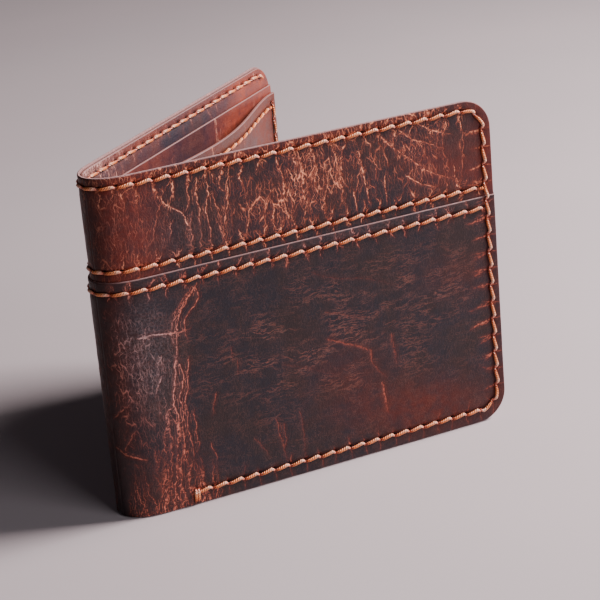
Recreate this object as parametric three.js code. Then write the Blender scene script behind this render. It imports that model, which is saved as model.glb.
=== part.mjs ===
// Bifold leather wallet, standing on its long edge and ajar.
// Frame: millimetres, +Z up. The spine is toward -X and the open ends toward +X, the front cover
// is on the -Y side and the back cover on the +Y side, a mirror image of each other. The origin is
// under the middle of the wallet, on the surface that it stands on.
//
// Every layer is laid out on one unrolled pattern: s runs along the outside of the leather from the
// middle of the spine to the open end, z runs up, and depth runs from the outside of the leather
// toward the inside of the fold.

import * as THREE from 'three';

// ---- overall sizes -------------------------------------------------------------------------
const HEIGHT = 88;              // bottom edge to top edge
const COVER_REACH = 110.7;      // middle of the spine to the open end, along the leather
const OPENING = 38.8;           // degrees between the two covers as the wallet stands
const CORNER_RADIUS = 8;        // the two open-end corners of each cover

// ---- the fold ------------------------------------------------------------------------------
const FOLD_TIGHT = 1.6;         // half-width of the tightest part of the bend
const FOLD_END = 14.4;          // where the bend has run out and the cover is straight
const FOLD_JOIN_GAP = 0.3;      // between a bending strip and the cover that it runs into

// ---- leather thicknesses -------------------------------------------------------------------
const PANEL_LEATHER = 1.3;      // lower panel
const LAP_LEATHER = 0.4;        // lower panel's top edge, skived where it laps the band
const LINING_LEATHER = 0.7;
const FACING_LEATHER = 0.5;
const CARD_LEATHER = 0.9;
const POCKET_LEATHER = 0.8;
const LAYER_GAP = 0.1;          // between layers that lie on each other

// ---- the lapped seam across the outside ----------------------------------------------------
const SEAM_BELOW_TOP = 25.9;    // top edge of the lower panel
const LAP_DEPTH = 5.2;          // how far the band is tucked under the panel
const SKIVE_RUN = 2.2;          // length of the panel's skived slope

// ---- inside pieces -------------------------------------------------------------------------
const LINING_INSET = 0.4;       // lining's edges, in from the outer leather's
const FACING_BELOW_TOP = 6.6;   // top edge of the bill compartment's facing
const FACING_START = 18.2;      // spine-side edge of the facing
const CARD_BELOW_TOP = 8.8;     // top edge of the card panel
const CARD_START = 19;          // spine-side edge of the card panel
const CARD_INSET = 0.6;         // card panel's sewn edges, in from the outer leather's
const BILL_BULGE = 7;           // how far the card panel stands off at its middle
const BULGE_AT_SPINE = 0.14;    // share of that at its spine-side edge
const POCKET_SPINE_INSET = 3;   // pockets, in from the card panel's spine-side edge
const POCKET_SIDE_INSET = 6.2;  // pockets, in from the open end
const POCKET_BOTTOM_INSET = 6.6;
const POCKET_FIRST_DROP = 13;   // first pocket's top edge, below the card panel's
const POCKET_STEP = 11;         // each further pocket, below the one before
const POCKET_CORNER = 2.5;
const POCKET_GAP = 0.25;        // between pockets, with room for a card's edge to enter

// ---- stitching -----------------------------------------------------------------------------
const THREAD_WIDTH = 0.9;
const THREAD_HEIGHT = 0.35;
const THREAD_GAP = 0.1;         // thread above the leather
const TOP_ROW = 2.5;            // in from the top edge
const SIDE_ROW = 2.55;          // in from the open end
const BOTTOM_ROW = 3.5;         // up from the bottom edge
const TACK_FOOT = 0.5;          // lower end of the back-tack, above the bottom edge
const SEAM_ROW_ABOVE = 2.4;     // upper seam row, above the panel's top edge
const SEAM_ROW_BELOW = 3.0;     // lower seam row, below it
const CARD_ROW = 3.4;           // card panel's row, below its top edge
const POCKET_ROW = 1.8;         // in from the pockets' edges
const ROW_END_GAP = 0.5;        // a row that ends beside another

// ---- colours -------------------------------------------------------------------------------
const leather = (name, color, roughness) =>
  new THREE.MeshStandardMaterial({ name, color, roughness, metalness: 0 });
const PULL_UP = leather('waxed pull-up leather', '#3a2726', 0.5);
const BAND = leather('burnished pull-up leather', '#4a2823', 0.46);
const FLESH = leather('lining leather', '#352a30', 0.62);
const CARD = leather('card leather', '#33262a', 0.55);
const THREAD = leather('waxed thread', '#c46d43', 0.5);

// ---- the fold seen from above --------------------------------------------------------------
const HALF = THREE.MathUtils.degToRad(OPENING / 2);
const TURN = Math.PI / 2 - HALF;                              // bend of each half of the spine
const EASE = FOLD_END - FOLD_TIGHT;
const BEND = TURN / (FOLD_TIGHT + EASE / 2);                  // bend per millimetre at the middle

function heading(s) {
  if (s <= FOLD_TIGHT) return Math.PI / 2 - BEND * s;
  if (s >= FOLD_END) return HALF;
  const t = s - FOLD_TIGHT;
  return Math.PI / 2 - BEND * (FOLD_TIGHT + t - (t * t) / (2 * EASE));
}

const STEP = FOLD_END / 288;
const trail = [[0, 0]];
for (let i = 0; i < 288; i++) {
  const h = heading((i + 0.5) * STEP);
  trail.push([trail[i][0] + Math.cos(h) * STEP, trail[i][1] + Math.sin(h) * STEP]);
}

function onPlan(s) {
  if (s >= FOLD_END) {
    const [x, y] = trail[288];
    return [x + Math.cos(HALF) * (s - FOLD_END), y + Math.sin(HALF) * (s - FOLD_END)];
  }
  const i = Math.min(287, Math.floor(s / STEP)), f = s / STEP - i;
  return [
    trail[i][0] + (trail[i + 1][0] - trail[i][0]) * f,
    trail[i][1] + (trail[i + 1][1] - trail[i][1]) * f,
  ];
}

// A point of the pattern in the folded wallet. s is negative on the front half.
function place(s, depth, z, target) {
  const side = s < 0 ? -1 : 1, a = Math.abs(s);
  const [x, y] = onPlan(a), h = heading(a);
  return target.set(x + Math.sin(h) * depth, side * (y - Math.cos(h) * depth), z);
}

// ---- the outline of a cover in the pattern -------------------------------------------------
function cornerDrop(fromEnd, radius) {
  if (fromEnd >= radius) return 0;
  const t = radius - Math.max(0, fromEnd);
  return radius - Math.sqrt(Math.max(0, radius * radius - t * t));
}
const topAt = (inset) => (s) =>
  HEIGHT - inset - cornerDrop(COVER_REACH - inset - s, CORNER_RADIUS - inset);
const bottomAt = (inset) => (s) =>
  inset + cornerDrop(COVER_REACH - inset - s, CORNER_RADIUS - inset);

// Stations along s, closer together in the bend and round the corners.
function stations(from, to) {
  const list = [from];
  const add = (s) => { if (s > list[list.length - 1] + 0.2 && s < to - 0.2) list.push(s); };
  for (let s = Math.ceil(from / 0.9) * 0.9; s < FOLD_END; s += 0.9) if (s > 0) add(s);
  for (let s = 18; s < to - CORNER_RADIUS - 1; s += 7) add(s);
  for (let i = 0; i < 8; i++) add(to - CORNER_RADIUS * (1 - Math.sin((i * Math.PI) / 16)));
  list.push(to);
  return list;
}
const mirrored = (list) => [...list.slice(1).map((s) => -s).reverse(), ...list];

// ---- solids --------------------------------------------------------------------------------
// A box of the right number of divisions is laid onto the pattern, vertex by vertex.
function laid(columns, rows, position) {
  const geometry = new THREE.BoxGeometry(columns, 1, rows, columns, 1, rows);
  const at = geometry.attributes.position, p = new THREE.Vector3();
  for (let k = 0; k < at.count; k++) {
    const i = Math.round(at.getX(k) + columns / 2), j = Math.round(at.getZ(k) + rows / 2);
    position(i, at.getY(k) > 0, j, p);
    at.setXYZ(k, p.x, p.y, p.z);
  }
  geometry.computeVertexNormals();
  return geometry;
}

// Turns a geometry inside out where laying it out has mirrored it.
function facingOut(geometry) {
  const at = geometry.attributes.position, index = geometry.index;
  const a = new THREE.Vector3(), b = new THREE.Vector3(), c = new THREE.Vector3();
  let volume = 0;
  for (let k = 0; k < index.count; k += 3) {
    a.fromBufferAttribute(at, index.getX(k));
    b.fromBufferAttribute(at, index.getX(k + 1));
    c.fromBufferAttribute(at, index.getX(k + 2));
    volume += a.dot(b.cross(c));
  }
  if (volume < 0) {
    for (let k = 0; k < index.count; k += 3) {
      const keep = index.getX(k + 1);
      index.setX(k + 1, index.getX(k + 2));
      index.setX(k + 2, keep);
    }
    geometry.computeVertexNormals();
  }
  return geometry;
}

// A sheet of leather: its columns along s, its levels up it, and the depth of its two faces.
function sheet({ columns, levels, outer, inner }) {
  return facingOut(laid(columns.length - 1, levels.length - 1, (i, deep, j, p) => {
    const s = columns[i], z = levels[j](Math.abs(s));
    place(s, (deep ? inner : outer)(Math.abs(s), z), z, p);
  }));
}

// A run of thread along a path of the pattern, on a face of the given depth; out is -1 for thread
// on the outside of the fold and 1 for thread on the inside.
function thread({ path, side, depth, out }) {
  const across = path.map((q, i) => {
    const a = path[Math.max(0, i - 1)], b = path[Math.min(path.length - 1, i + 1)];
    const u = unit(q[0] - a[0], q[1] - a[1]), v = unit(b[0] - q[0], b[1] - q[1]);
    const m = i === 0 ? v : i === path.length - 1 ? u : unit(u[0] + v[0], u[1] + v[1]);
    const w = i === 0 ? v : u;
    return [-m[1], m[0], 1 / Math.max(0.5, m[0] * w[0] + m[1] * w[1])];
  });
  return facingOut(laid(path.length - 1, 1, (i, high, j, p) => {
    const reach = (j ? 0.5 : -0.5) * THREAD_WIDTH * across[i][2];
    const s = path[i][0] + across[i][0] * reach, z = path[i][1] + across[i][1] * reach;
    const lift = THREAD_GAP + (high ? THREAD_HEIGHT : 0);
    place(side * s, depth(Math.abs(s), z) + out * lift, z, p);
  }));
}
function unit(x, y) {
  const l = Math.hypot(x, y) || 1;
  return [x / l, y / l];
}

// ---- depths of the layers ------------------------------------------------------------------
const SEAM = HEIGHT - SEAM_BELOW_TOP;
const BAND_FOOT = SEAM - LAP_DEPTH;
const bandDepth = LAP_LEATHER + LAYER_GAP;
const STEP_FOOT = SEAM + 0.4, STEP_RUN = 0.5;                 // where thread steps over the lap
const liningDepth = PANEL_LEATHER + LAYER_GAP;
const liningFace = liningDepth + LINING_LEATHER;
const facingDepth = liningFace + LAYER_GAP;
const cardDepth = facingDepth + FACING_LEATHER + LAYER_GAP;

const flat = (depth) => () => depth;
const skived = (s, z) => {
  const foot = BAND_FOOT - LAYER_GAP - SKIVE_RUN;
  const t = THREE.MathUtils.clamp((z - foot) / SKIVE_RUN, 0, 1);
  return PANEL_LEATHER + (LAP_LEATHER - PANEL_LEATHER) * t;
};

const CARD_TOP = HEIGHT - CARD_BELOW_TOP;
const MARGIN = 1.3;                                           // flat leather past a sewn row
const SEWN_SIDE = COVER_REACH - SIDE_ROW - MARGIN, SEWN_FOOT = BOTTOM_ROW + MARGIN;
function bulge(s, z) {
  const u = THREE.MathUtils.clamp((s - CARD_START) / (SEWN_SIDE - CARD_START), 0, 1);
  const v = THREE.MathUtils.clamp((z - SEWN_FOOT) / (CARD_TOP - SEWN_FOOT), 0, 1);
  const along = u < 0.5
    ? BULGE_AT_SPINE + (1 - BULGE_AT_SPINE) * Math.sin(Math.PI * u)
    : Math.pow(Math.sin(Math.PI * u), 1.4);
  return BILL_BULGE * along * Math.sin((Math.PI / 2) * v);
}
const cardFace = (s, z) => cardDepth + CARD_LEATHER + bulge(s, z);
const pocketFace = (layer) => (s, z) => cardFace(s, z) + layer * (POCKET_GAP + POCKET_LEATHER);

const POCKETS = ['upper', 'middle', 'lower'];
const pocketTop = (k) => CARD_TOP - POCKET_FIRST_DROP - k * POCKET_STEP;
const POCKET_FROM = CARD_START + POCKET_SPINE_INSET;
const POCKET_TO = COVER_REACH - POCKET_SIDE_INSET;

// ---- assembly ------------------------------------------------------------------------------
const wallet = new THREE.Group();
const backCover = new THREE.Group(), frontCover = new THREE.Group(), spine = new THREE.Group();
wallet.add(backCover, spine, frontCover);

function add(group, name, geometry, material) {
  const mesh = new THREE.Mesh(geometry, material);
  mesh.name = name;
  group.add(mesh);
}

const level = (z) => () => z;
const between = (list, share) => (s) => list[0](s) + (list[1](s) - list[0](s)) * share;

// The leather and thread that run round the spine.
const turn = mirrored(stations(0, FOLD_END - FOLD_JOIN_GAP / 2));
const turnPath = (z) => turn.map((s) => [s, z]);
add(spine, 'spine_lower_panel', sheet({
  columns: turn,
  levels: [0, 28, BAND_FOOT - LAYER_GAP - SKIVE_RUN, BAND_FOOT - LAYER_GAP, SEAM].map(level),
  outer: flat(0), inner: skived,
}), PULL_UP);
add(spine, 'spine_upper_band', sheet({
  columns: turn, levels: [level(BAND_FOOT), level(SEAM + 4), level(HEIGHT)],
  outer: flat(bandDepth), inner: flat(PANEL_LEATHER),
}), BAND);
add(spine, 'spine_lining', sheet({
  columns: turn, levels: [level(LINING_INSET), level(HEIGHT / 2), level(HEIGHT - LINING_INSET)],
  outer: flat(liningDepth), inner: flat(liningFace),
}), FLESH);
const spineThread = (z, depth, out) =>
  thread({ path: turnPath(z), side: 1, depth: flat(depth), out });
add(spine, 'spine_top_stitching_outside', spineThread(HEIGHT - TOP_ROW, bandDepth, -1), THREAD);
add(spine, 'spine_top_stitching_inside', spineThread(HEIGHT - TOP_ROW, liningFace, 1), THREAD);
add(spine, 'spine_seam_stitching_upper', spineThread(SEAM + SEAM_ROW_ABOVE, bandDepth, -1), THREAD);
add(spine, 'spine_seam_stitching_lower', spineThread(SEAM - SEAM_ROW_BELOW, 0, -1), THREAD);

// A quarter turn of stitching round an open-end corner, from the top or side row onward.
function round(cx, cz, rx, rz, from, to) {
  return Array.from({ length: 9 }, (_, i) => {
    const a = from + ((to - from) * i) / 8;
    return [cx + rx * Math.cos(a), cz + rz * Math.sin(a)];
  });
}

function cover(name, side, group) {
  const at = (list) => list.map((s) => side * s);
  const start = FOLD_END + FOLD_JOIN_GAP / 2;
  const outerTop = topAt(0), outerBottom = bottomAt(0);

  // outer leather
  add(group, `${name}_lower_panel`, sheet({
    columns: at(stations(start, COVER_REACH)),
    levels: [outerBottom, level(28), level(BAND_FOOT - LAYER_GAP - SKIVE_RUN),
      level(BAND_FOOT - LAYER_GAP), level(SEAM)],
    outer: flat(0), inner: skived,
  }), PULL_UP);
  add(group, `${name}_upper_band`, sheet({
    columns: at(stations(start, COVER_REACH)),
    levels: [level(BAND_FOOT), level(SEAM + 4), outerTop],
    outer: flat(bandDepth), inner: flat(PANEL_LEATHER),
  }), BAND);

  // lining and the bill compartment's facing
  const lining = [bottomAt(LINING_INSET), topAt(LINING_INSET)];
  add(group, `${name}_lining`, sheet({
    columns: at(stations(start, COVER_REACH - LINING_INSET)),
    levels: [lining[0], between(lining, 0.5), lining[1]],
    outer: flat(liningDepth), inner: flat(liningFace),
  }), FLESH);
  const facing = [bottomAt(CARD_INSET), (s) => HEIGHT - FACING_BELOW_TOP];
  add(group, `${name}_compartment_facing`, sheet({
    columns: at(stations(FACING_START, COVER_REACH - CARD_INSET)),
    levels: [facing[0], between(facing, 0.5), facing[1]],
    outer: flat(facingDepth), inner: flat(facingDepth + FACING_LEATHER),
  }), FLESH);

  // card panel, standing off the facing
  const card = [bottomAt(CARD_INSET), (s) => CARD_TOP];
  const cardColumns = [...stations(CARD_START, COVER_REACH - CARD_INSET)
    .filter((s) => Math.abs(s - SEWN_SIDE) > 0.5), SEWN_SIDE].sort((a, b) => a - b);
  const sewn = (SEWN_FOOT - CARD_INSET) / (CARD_TOP - CARD_INSET);
  const cardLevels = [card[0],
    ...Array.from({ length: 11 }, (_, j) => between(card, sewn + ((1 - sewn) * j) / 10))];
  add(group, `${name}_card_panel`, sheet({
    columns: at(cardColumns), levels: cardLevels,
    outer: (s, z) => cardDepth + bulge(s, z), inner: cardFace,
  }), CARD);

  // stepped card pockets, each lying on the one above it
  POCKETS.forEach((place_, k) => {
    const foot = (s) => POCKET_BOTTOM_INSET +
      cornerDrop(Math.min(s - POCKET_FROM, POCKET_TO - s), POCKET_CORNER);
    const body = [foot, (s) => pocketTop(k)];
    const inEnd = [0, 0.2, 0.7, 1.5, POCKET_CORNER];
    const mid = Array.from({ length: 13 }, (_, i) =>
      POCKET_FROM + POCKET_CORNER + ((POCKET_TO - POCKET_FROM - 2 * POCKET_CORNER) * (i + 1)) / 14);
    const columns = [...inEnd.map((d) => POCKET_FROM + d), ...mid,
      ...inEnd.map((d) => POCKET_TO - d).reverse()];
    add(group, `${name}_card_pocket_${place_}`, sheet({
      columns: at(columns), levels: Array.from({ length: 7 }, (_, j) => between(body, j / 6)),
      outer: (s, z) => pocketFace(k)(s, z) + POCKET_GAP,
      inner: pocketFace(k + 1),
    }), CARD);
  });

  // stitching on the outside: along the top, round the open end and back along the bottom
  const sideRow = COVER_REACH - SIDE_ROW;
  const turnR = CORNER_RADIUS - SIDE_ROW;
  const edge = [
    [start, HEIGHT - TOP_ROW],
    ...round(sideRow - turnR, HEIGHT - TOP_ROW - turnR, turnR, turnR, Math.PI / 2, 0),
    ...round(sideRow - turnR, BOTTOM_ROW + turnR, turnR, turnR, 0, -Math.PI / 2),
    [CARD_START, BOTTOM_ROW],
    [CARD_START, TACK_FOOT],
  ];
  const outside = (s, z) => bandDepth * THREE.MathUtils.clamp((z - STEP_FOOT) / STEP_RUN, 0, 1);
  add(group, `${name}_edge_stitching_outside`, thread({
    path: stepped(edge), side, depth: outside, out: -1 }), THREAD);
  add(group, `${name}_seam_stitching_upper`, thread({
    path: [[start, SEAM + SEAM_ROW_ABOVE], [sideRow - THREAD_WIDTH / 2 - ROW_END_GAP, SEAM + SEAM_ROW_ABOVE]],
    side, depth: flat(bandDepth), out: -1 }), THREAD);
  add(group, `${name}_seam_stitching_lower`, thread({
    path: [[start, SEAM - SEAM_ROW_BELOW], [sideRow - THREAD_WIDTH / 2 - ROW_END_GAP, SEAM - SEAM_ROW_BELOW]],
    side, depth: flat(0), out: -1 }), THREAD);

  // stitching on the inside: the top row on the lining, then the sewn edges of the card panel
  const turnZ = HEIGHT - TOP_ROW - turnR;
  const facingTop = HEIGHT - FACING_BELOW_TOP;
  const stop = Math.asin(THREE.MathUtils.clamp(
    (facingTop + ROW_END_GAP + THREAD_WIDTH / 2 - turnZ) / turnR, 0, 0.9));
  add(group, `${name}_top_stitching_inside`, thread({
    path: [[start, HEIGHT - TOP_ROW],
      ...round(sideRow - turnR, turnZ, turnR, turnR, Math.PI / 2, stop)],
    side, depth: flat(liningFace), out: 1 }), THREAD);
  add(group, `${name}_card_edge_stitching`, thread({
    path: [[sideRow, CARD_TOP - CARD_ROW + THREAD_WIDTH + ROW_END_GAP],
      ...round(sideRow - turnR, BOTTOM_ROW + turnR, turnR, turnR, 0, -Math.PI / 2),
      [CARD_START + ROW_END_GAP, BOTTOM_ROW]],
    side, depth: flat(cardDepth + CARD_LEATHER), out: 1 }), THREAD);
  add(group, `${name}_card_top_stitching`, thread({
    path: cardColumns.filter((s) => s < sideRow - THREAD_WIDTH - ROW_END_GAP && s > CARD_START + 1)
      .map((s) => [s, CARD_TOP - CARD_ROW]),
    side, depth: cardFace, out: 1 }), THREAD);

  // stitching round the pockets, down one side, along the bottom and up the other
  const from = POCKET_FROM + POCKET_ROW, to = POCKET_TO - POCKET_ROW;
  const foot = POCKET_BOTTOM_INSET + POCKET_ROW, head = pocketTop(0) - 1;
  const climb = [];
  for (let z = foot; z < head; z += 6) climb.push(z);
  climb.push(head);
  for (let k = 1; k < POCKETS.length; k++) climb.push(pocketTop(k) + 0.4, pocketTop(k) + 1.4);
  const up = [...new Set(climb)].sort((a, b) => a - b).filter((z, i, all) => !i || z - all[i - 1] > 0.3);
  const on = (s, z) => {
    let layers = 1;
    for (let k = 1; k < POCKETS.length; k++) {
      layers += THREE.MathUtils.clamp(pocketTop(k) + 1.4 - z, 0, 1);
    }
    return pocketFace(layers)(s, z);
  };
  const along = Array.from({ length: 17 }, (_, i) => [from + ((to - from) * (i + 1)) / 18, foot]);
  add(group, `${name}_pocket_stitching`, thread({
    path: [...up.map((z) => [from, z]).reverse(), ...along, ...up.map((z) => [to, z])],
    side, depth: on, out: 1 }), THREAD);
}

// Adds the two points at which the side row steps up onto the panel's lapped edge.
function stepped(path) {
  const list = [path[0]];
  for (let i = 1; i < path.length; i++) {
    const a = path[i - 1], b = path[i];
    if (a[1] > STEP_FOOT + STEP_RUN && b[1] < SEAM) {
      const t = (q) => (a[1] - q) / (a[1] - b[1]);
      for (const q of [STEP_FOOT + STEP_RUN, STEP_FOOT]) list.push([a[0] + (b[0] - a[0]) * t(q), q]);
    }
    list.push(b);
  }
  return list;
}

cover('back', 1, backCover);
cover('front', -1, frontCover);

// The middle of the wallet stands over the origin.
const box = new THREE.Box3().setFromObject(wallet);
wallet.position.set(-(box.min.x + box.max.x) / 2, 0, 0);

export default wallet;
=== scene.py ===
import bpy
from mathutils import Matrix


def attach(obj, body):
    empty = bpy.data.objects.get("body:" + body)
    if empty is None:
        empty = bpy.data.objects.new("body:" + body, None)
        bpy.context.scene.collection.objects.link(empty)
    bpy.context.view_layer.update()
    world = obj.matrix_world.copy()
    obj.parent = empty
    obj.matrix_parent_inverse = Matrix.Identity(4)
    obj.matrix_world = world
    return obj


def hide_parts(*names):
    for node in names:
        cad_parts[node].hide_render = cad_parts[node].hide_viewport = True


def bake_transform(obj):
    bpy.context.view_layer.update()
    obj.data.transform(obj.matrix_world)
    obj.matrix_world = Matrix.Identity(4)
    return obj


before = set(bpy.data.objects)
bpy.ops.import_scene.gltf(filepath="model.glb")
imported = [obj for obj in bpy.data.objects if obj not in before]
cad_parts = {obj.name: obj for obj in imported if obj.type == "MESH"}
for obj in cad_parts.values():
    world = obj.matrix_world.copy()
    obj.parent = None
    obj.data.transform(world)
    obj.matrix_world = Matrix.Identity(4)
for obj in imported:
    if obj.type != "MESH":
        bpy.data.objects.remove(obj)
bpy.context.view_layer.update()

import functools
import math

import bmesh
import bpy
import numpy as np
from mathutils import Matrix, Vector

# ---- The view ------------------------------------------------------------------------------
# The wallet is seen from in front of its front cover, from a little above, with a long lens and
# the camera leaning slightly, so that the cover's top edge climbs to the right.
HALF_OPENING = math.radians(19.4)
SPINE_X = -50.445                                # outside of the spine, millimetres
VIEW_TURN, VIEW_DIP, VIEW_LEAN = math.radians(44.15), math.radians(20.38), math.radians(5.11)
VIEW_DISTANCE, VIEW_RIGHT, VIEW_UP = 519.4, 48.58, 49.62
LENS_MM = 125.1

ahead = Vector((0, math.cos(VIEW_DIP), -math.sin(VIEW_DIP)))
right = Vector((1, 0, 0))
up = Vector((0, math.sin(VIEW_DIP), math.cos(VIEW_DIP)))
turn_back = Matrix.Rotation(-VIEW_TURN, 3, "Z")
eye = turn_back @ (right * VIEW_RIGHT + up * VIEW_UP - ahead * VIEW_DISTANCE)
eye += Vector((SPINE_X, 0, 0))
lean_right = right * math.cos(VIEW_LEAN) - up * math.sin(VIEW_LEAN)
lean_up = right * math.sin(VIEW_LEAN) + up * math.cos(VIEW_LEAN)
camera = bpy.data.objects.new("camera", bpy.data.cameras.new("camera"))
camera.data.lens = LENS_MM
camera.data.sensor_width = 36
camera.data.clip_start = 0.01
camera.data.clip_end = 20
axes = Matrix([turn_back @ lean_right, turn_back @ lean_up, turn_back @ -ahead]).transposed()
camera.matrix_world = Matrix.Translation(eye / 1000) @ axes.to_4x4()
bpy.context.scene.collection.objects.link(camera)
bpy.context.scene.camera = camera


# ---- The floor and the light ---------------------------------------------------------------
# A plain pale floor, with a broad lamp high behind the wallet's right, which catches the top
# edges and the ends of the stitches, and a large weak one in front.
def linear(hex_colour):
    """An sRGB hex colour as linear RGBA."""
    parts = [int(hex_colour[i:i + 2], 16) / 255 for i in (1, 3, 5)]
    return [c / 12.92 if c <= 0.04045 else ((c + 0.055) / 1.055) ** 2.4 for c in parts] + [1.0]


def fill(node, inputs):
    """Gives a node's sockets, by name or number, plain values or other nodes' outputs."""
    for key, value in inputs.items():
        if isinstance(value, bpy.types.NodeSocket):
            node.id_data.links.new(value, node.inputs[key])
        else:
            node.inputs[key].default_value = value


def add_node(tree, kind, inputs=(), out=0, **settings):
    """Adds a shader node with its settings and links, and gives back one of its outputs. inputs is
    a list in the order of the node's sockets, or a dict by socket name or number."""
    node = tree.nodes.new("ShaderNode" + kind)
    for key, value in settings.items():
        setattr(node, key, value)
    fill(node, inputs if isinstance(inputs, dict) else dict(enumerate(inputs)))
    return node.outputs[out]


def new_material(name):
    """A material, the function that adds a node to it, and its shader."""
    material = bpy.data.materials.new(name)
    material.use_nodes = True
    tree = material.node_tree
    return material, functools.partial(add_node, tree), tree.nodes["Principled BSDF"]


floor_mesh = bmesh.new()
bmesh.ops.create_grid(floor_mesh, x_segments=1, y_segments=1, size=3.0)
bmesh.ops.translate(floor_mesh, verts=floor_mesh.verts, vec=(0, 0, -0.0001))
floor_data = bpy.data.meshes.new("floor")
floor_mesh.to_mesh(floor_data)
floor_mesh.free()
floor = bpy.data.objects.new("floor", floor_data)
bpy.context.scene.collection.objects.link(floor)
# pale matt paint: an even, slightly rough, cool off-white
floor_paint, add, shader = new_material("pale matt paint")
mottle = add("TexCoord", out="Object")
mottle = add("TexNoise", {"Vector": mottle, "Scale": 6.0, "Detail": 3.0})
tone = add("Mix", {0: mottle, 6: linear("#b3adb3"), 7: linear("#c2bbc0")}, out=2, data_type="RGBA")
fill(shader, {"Base Color": tone, "Roughness": 0.6})
floor_data.materials.append(floor_paint)

world = bpy.data.worlds.new("studio")
world.use_nodes = True
fill(world.node_tree.nodes["Background"], {"Color": linear("#7a7176"), "Strength": 0.22})
bpy.context.scene.world = world


def lamp(name, where, aim, size, power, colour):
    light = bpy.data.lights.new(name, "AREA")
    light.shape, light.size, light.size_y = "RECTANGLE", size[0], size[1]
    light.energy, light.color = power, linear(colour)[:3]
    holder = bpy.data.objects.new(name, light)
    spot = turn_back @ Vector(where)
    holder.location = spot
    holder.rotation_euler = (turn_back @ Vector(aim) - spot).to_track_quat("-Z", "Y").to_euler()
    bpy.context.scene.collection.objects.link(holder)


# places are in metres, right of, behind and above the wallet as it is seen
lamp("key lamp", (0.60, 0.12, 0.52), (0.0, 0.0, 0.05), (0.30, 0.36), 17.5, "#fff0ec")
lamp("fill lamp", (0.75, -0.75, 0.60), (0.0, 0.0, 0.04), (0.7, 0.6), 4.9, "#fbf4f6")


# ---- Outer leather: the lower panels -------------------------------------------------------
# The lower two thirds of the outside, one piece of waxed pull-up cowhide about 1.3 mm thick that
# runs round the spine. Its top edge is skived thin and laps over the band above it. It is made
# here as a front and a back half that meet at the middle of the spine, where the fold turns.
HEIGHT, REACH, CORNER = 88.0, 110.7, 8.0
FOLD_TIGHT, FOLD_END = 1.6, 14.4
SEAM_Z, BAND_FOOT = 62.1, 56.9
PANEL_THICK, LAP_THICK, BAND_DEPTH = 1.3, 0.4, 0.5
PITCH = 4.68                                     # stitch to stitch
TOP_ROW, SIDE_ROW, BOTTOM_ROW = 2.5, 2.55, 3.5
UPPER_SEAM_ROW, LOWER_SEAM_ROW = SEAM_Z + 2.4, SEAM_Z - 3.0
TACK_S = 20.2                                    # where the bottom row starts

FOLD_TURN = math.pi / 2 - HALF_OPENING
FOLD_RATE = FOLD_TURN / (FOLD_TIGHT + (FOLD_END - FOLD_TIGHT) / 2)


def heading(s):
    ease = FOLD_END - FOLD_TIGHT
    t = np.clip(s - FOLD_TIGHT, 0, ease)
    return math.pi / 2 - FOLD_RATE * (np.minimum(s, FOLD_TIGHT) + t - t * t / (2 * ease))


trail_s = np.linspace(0, FOLD_END, 577)
steps = heading((trail_s[1:] + trail_s[:-1]) / 2)
trail_x = np.concatenate([[0], np.cumsum(np.cos(steps) * np.diff(trail_s))])
trail_y = np.concatenate([[0], np.cumsum(np.sin(steps) * np.diff(trail_s))])


def folded(s, depth, z):
    """Points of the unrolled pattern, in millimetres, as places on the folded wallet in metres.
    s is negative on the front half, and depth runs from the outside of the leather inward."""
    side, a = np.where(s < 0, -1.0, 1.0), np.abs(s)
    turn = heading(a)
    past = np.maximum(a - FOLD_END, 0)
    x = np.interp(a, trail_s, trail_x) + math.cos(HALF_OPENING) * past + np.sin(turn) * depth
    y = np.interp(a, trail_s, trail_y) + math.sin(HALF_OPENING) * past - np.cos(turn) * depth
    return np.stack([x + SPINE_X, side * y, z + 0 * x], 1) / 1000


def value_noise(x, y, seed):
    """Smooth noise of unit grid, from -1 to 1."""
    table = np.random.default_rng(seed).uniform(-1, 1, (64, 64))
    i, j = np.floor(x).astype(int), np.floor(y).astype(int)
    fx, fy = x - i, y - j
    fx, fy = fx * fx * (3 - 2 * fx), fy * fy * (3 - 2 * fy)
    pick = lambda p, q: table[(i + p) % 64, (j + q) % 64]
    low, high = (pick(0, q) * (1 - fx) + pick(1, q) * fx for q in (0, 1))
    return low * (1 - fy) + high * fy


def drop_at_corner(from_end, radius):
    t = radius - np.clip(from_end, 0, radius)
    return radius - np.sqrt(np.maximum(radius * radius - t * t, 0))


def from_cut_edge(a, z):
    """Distance in from the cover's cut edge, round corners included."""
    dx, dz = REACH - a, np.minimum(HEIGHT - z, z)
    corner = CORNER - np.hypot(np.maximum(CORNER - dx, 0), np.maximum(CORNER - dz, 0))
    return np.where((dx < CORNER) & (dz < CORNER), corner, np.minimum(dx, dz))


def along(path, distances):
    """Points and unit directions at given distances along a path."""
    legs = np.diff(path, axis=0)
    lengths = np.hypot(legs[:, 0], legs[:, 1])
    ends = np.concatenate([[0], np.cumsum(lengths)])
    k = np.clip(np.searchsorted(ends, distances, side="right") - 1, 0, len(legs) - 1)
    t = (distances - ends[k]) / lengths[k]
    return path[k] + legs[k] * t[:, None], legs[k] / lengths[k][:, None]


def path_length(path):
    return float(np.hypot(*np.diff(path, axis=0).T).sum())


def quarter(cx, cz, r, start):
    """A quarter turn of a row round a corner of the cover."""
    turns = np.linspace(start, start - math.pi / 2, 13)
    return [(cx + r * math.cos(t), cz + r * math.sin(t)) for t in turns]


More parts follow.
